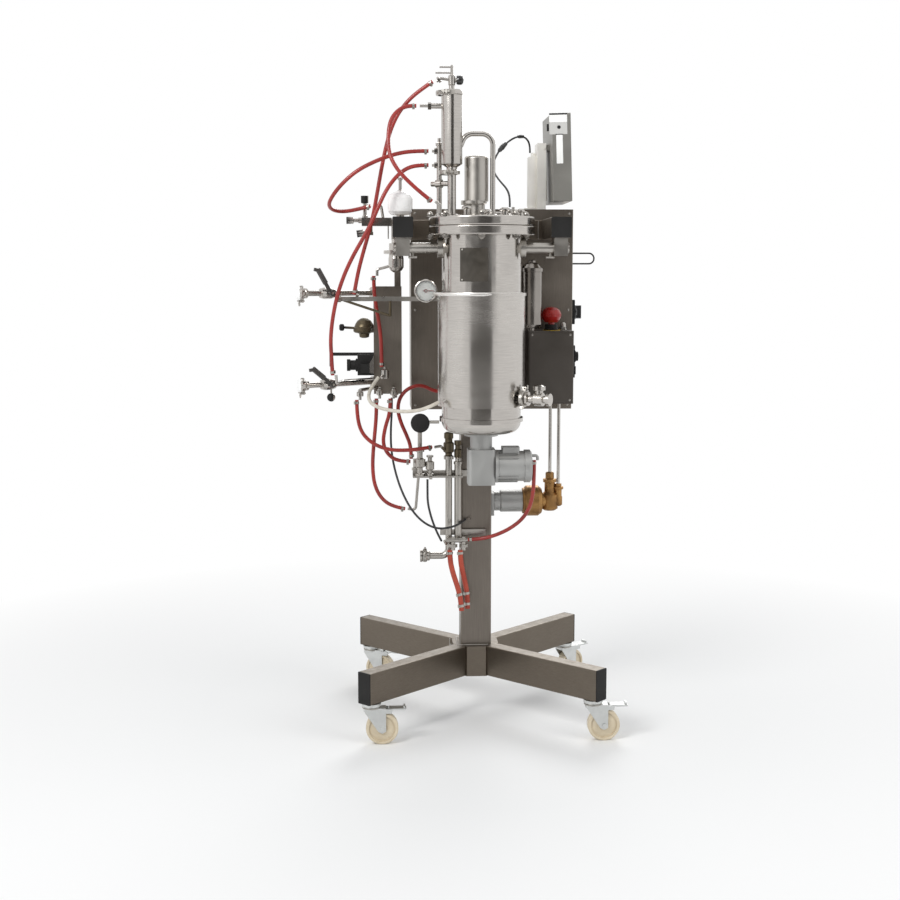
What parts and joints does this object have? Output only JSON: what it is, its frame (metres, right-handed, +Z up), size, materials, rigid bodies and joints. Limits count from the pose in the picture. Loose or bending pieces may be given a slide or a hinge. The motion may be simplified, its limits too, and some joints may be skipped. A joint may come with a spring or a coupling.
{
  "type": "mobile pilot bioreactor",
  "caption": "Steel stirred vessel with bolted lid, condenser and side valves, held in a fork on a column with castered cross base, terminal, cabinet and red hoses",
  "frame": {"origin": "on the floor under the middle of the unit's footprint", "axes": "+X to the terminal side, +Y to the back, +Z up"},
  "size_m": [1.023, 0.8282, 2.062],
  "materials": {
    "frame_steel": "brushed stainless steel, satin",
    "polished_steel": "polished stainless steel",
    "satin_steel": "satin stainless steel",
    "cabinet_steel": "brushed stainless sheet",
    "dark_box": "dark painted sheet",
    "black_plastic": "matt black plastic",
    "zinc": "zinc-plated pressed steel",
    "wheel_nylon": "cream nylon",
    "bronze": "cast bronze",
    "red_hose": "red silicone, satin",
    "drain_hose_red": "orange-red rubber",
    "pale_braid": "pale braided hose",
    "cable_black": "black cable sheath",
    "stop_red": "red gloss plastic",
    "terminal_case": "satin aluminium case",
    "post_metal": "pale painted aluminium",
    "needle_black": "black enamel"
  },
  "bodies": {
    "stand": {"base_frame": "frame_steel", "end_caps": "black_plastic", "column": "frame_steel", "support_fork": "frame_steel", "vessel_shell": "polished_steel", "vessel_jacket": "polished_steel", "vessel_mounts": "satin_steel", "lid": "polished_steel", "lid_fittings": "polished_steel", "foam_breaker": "satin_steel", "condenser": "polished_steel", "drive_unit": "satin_steel", "utility_cabinet": "cabinet_steel", "terminal_box": "dark_box", "air_filter": "polished_steel", "panel_post": "post_metal", "cabinet_fittings": "black_plastic", "circulation_pump": "bronze", "valve_panel": "cabinet_steel", "side_valves": "polished_steel", "pressure_gauge": "polished_steel", "lower_manifold": "satin_steel", "sample_valve": "polished_steel", "condenser_hose": "red_hose", "return_hose": "red_hose", "inlet_hose": "red_hose", "supply_hose": "red_hose", "panel_hose": "red_hose", "braided_hose": "pale_braid", "lower_hose": "red_hose", "inner_hose": "red_hose", "loop_hose": "red_hose", "arch_hose": "red_hose", "cross_hose": "red_hose", "drain_hose_left": "drain_hose_red", "drain_hose_right": "drain_hose_red", "long_cable": "cable_black", "short_cable": "cable_black", "terminal_cable": "cable_black"},
    "agitator": {"agitator": "polished_steel"},
    "condenser_knob": {"condenser_knob": "black_plastic"},
    "upper_lever": {"upper_lever": "polished_steel"},
    "lower_lever": {"lower_lever": "polished_steel"},
    "manifold_knob": {"manifold_knob": "black_plastic"},
    "control_panel": {"control_panel": "terminal_case"},
    "emergency_stop": {"emergency_stop": "stop_red"},
    "main_switch": {"main_switch": "black_plastic"},
    "gauge_needle": {"gauge_needle": "needle_black"},
    "caster_1": {"caster_fork_1": "zinc"},
    "wheel_1": {"caster_wheel_1": "wheel_nylon"},
    "brake_1": {"caster_pedal_1": "zinc"},
    "caster_2": {"caster_fork_2": "zinc"},
    "wheel_2": {"caster_wheel_2": "wheel_nylon"},
    "brake_2": {"caster_pedal_2": "zinc"},
    "caster_3": {"caster_fork_3": "zinc"},
    "wheel_3": {"caster_wheel_3": "wheel_nylon"},
    "brake_3": {"caster_pedal_3": "zinc"},
    "caster_4": {"caster_fork_4": "zinc"},
    "wheel_4": {"caster_wheel_4": "wheel_nylon"},
    "brake_4": {"caster_pedal_4": "zinc"}
  },
  "joints": [
    {"name": "swivel_1", "type": "hinge", "parent": "stand", "child": "caster_1", "pos_m": [0.40436, 0.34236, 0.12], "axis": [0, 0, 1], "continuous": true},
    {"name": "roll_1", "type": "hinge", "parent": "caster_1", "child": "wheel_1", "pos_m": [0.43139, 0.36129, 0.05], "axis": [-0.5736, 0.8192, 0], "continuous": true},
    {"name": "brake_press_1", "type": "hinge", "parent": "caster_1", "child": "brake_1", "pos_m": [0.45105, 0.37506, 0.106], "axis": [-0.5736, 0.8192, 0], "range_deg": [0, 14]},
    {"name": "swivel_2", "type": "hinge", "parent": "stand", "child": "caster_2", "pos_m": [-0.28436, 0.34236, 0.12], "axis": [0, 0, 1], "continuous": true},
    {"name": "roll_2", "type": "hinge", "parent": "caster_2", "child": "wheel_2", "pos_m": [-0.25335, 0.33107, 0.05], "axis": [0.342, 0.9397, 0], "continuous": true},
    {"name": "brake_press_2", "type": "hinge", "parent": "caster_2", "child": "brake_2", "pos_m": [-0.2308, 0.32287, 0.106], "axis": [0.342, 0.9397, 0], "range_deg": [0, 14]},
    {"name": "swivel_3", "type": "hinge", "parent": "stand", "child": "caster_3", "pos_m": [-0.28436, -0.34636, 0.12], "axis": [0, 0, 1], "continuous": true},
    {"name": "roll_3", "type": "hinge", "parent": "caster_3", "child": "wheel_3", "pos_m": [-0.25136, -0.34636, 0.05], "axis": [0, 1, 0], "continuous": true},
    {"name": "brake_press_3", "type": "hinge", "parent": "caster_3", "child": "brake_3", "pos_m": [-0.22736, -0.34636, 0.106], "axis": [0, 1, 0], "range_deg": [0, 14]},
    {"name": "swivel_4", "type": "hinge", "parent": "stand", "child": "caster_4", "pos_m": [0.40436, -0.34636, 0.12], "axis": [0, 0, 1], "continuous": true},
    {"name": "roll_4", "type": "hinge", "parent": "caster_4", "child": "wheel_4", "pos_m": [0.43736, -0.34636, 0.05], "axis": [0, 1, 0], "continuous": true},
    {"name": "brake_press_4", "type": "hinge", "parent": "caster_4", "child": "brake_4", "pos_m": [0.46136, -0.34636, 0.106], "axis": [0, 1, 0], "range_deg": [0, 14]},
    {"name": "agitator_turn", "type": "hinge", "parent": "stand", "child": "agitator", "pos_m": [0.06, -0.252, 0.93], "axis": [0, 0, 1], "continuous": true},
    {"name": "condenser_knob_turn", "type": "hinge", "parent": "stand", "child": "condenser_knob", "pos_m": [-0.017, -0.252, 2.018], "axis": [1, 0, 0], "range_deg": [0, 270]},
    {"name": "upper_lever_turn", "type": "hinge", "parent": "stand", "child": "upper_lever", "pos_m": [-0.39983, -0.13465, 1.382], "axis": [-0.5736, 0.8192, 0], "range_deg": [-57, 33]},
    {"name": "lower_lever_turn", "type": "hinge", "parent": "stand", "child": "lower_lever", "pos_m": [-0.39983, -0.13465, 1.096], "axis": [-0.5736, 0.8192, 0], "range_deg": [-37, 53]},
    {"name": "setting_knob_turn", "type": "hinge", "parent": "stand", "child": "manifold_knob", "pos_m": [-0.124, -0.094, 0.971], "axis": [0, -1, 0], "range_deg": [0, 270]},
    {"name": "terminal_tilt", "type": "hinge", "parent": "stand", "child": "control_panel", "pos_m": [0.286, 0.108, 1.85], "axis": [0, -1, 0], "range_deg": [-1.5, 13]},
    {"name": "stop_press", "type": "slide", "parent": "stand", "child": "emergency_stop", "axis": [0, 0, -1], "range_m": [0, 0.006]},
    {"name": "main_switch_turn", "type": "hinge", "parent": "stand", "child": "main_switch", "pos_m": [0.39, 0.088, 1.318], "axis": [1, 0, 0], "range_deg": [0, 90]},
    {"name": "needle_turn", "type": "hinge", "parent": "stand", "child": "gauge_needle", "pos_m": [-0.108, -0.199, 1.39], "axis": [0, -1, 0], "range_deg": [-60, 200], "stiffness_Nm_per_rad": 0.02}
  ]
}
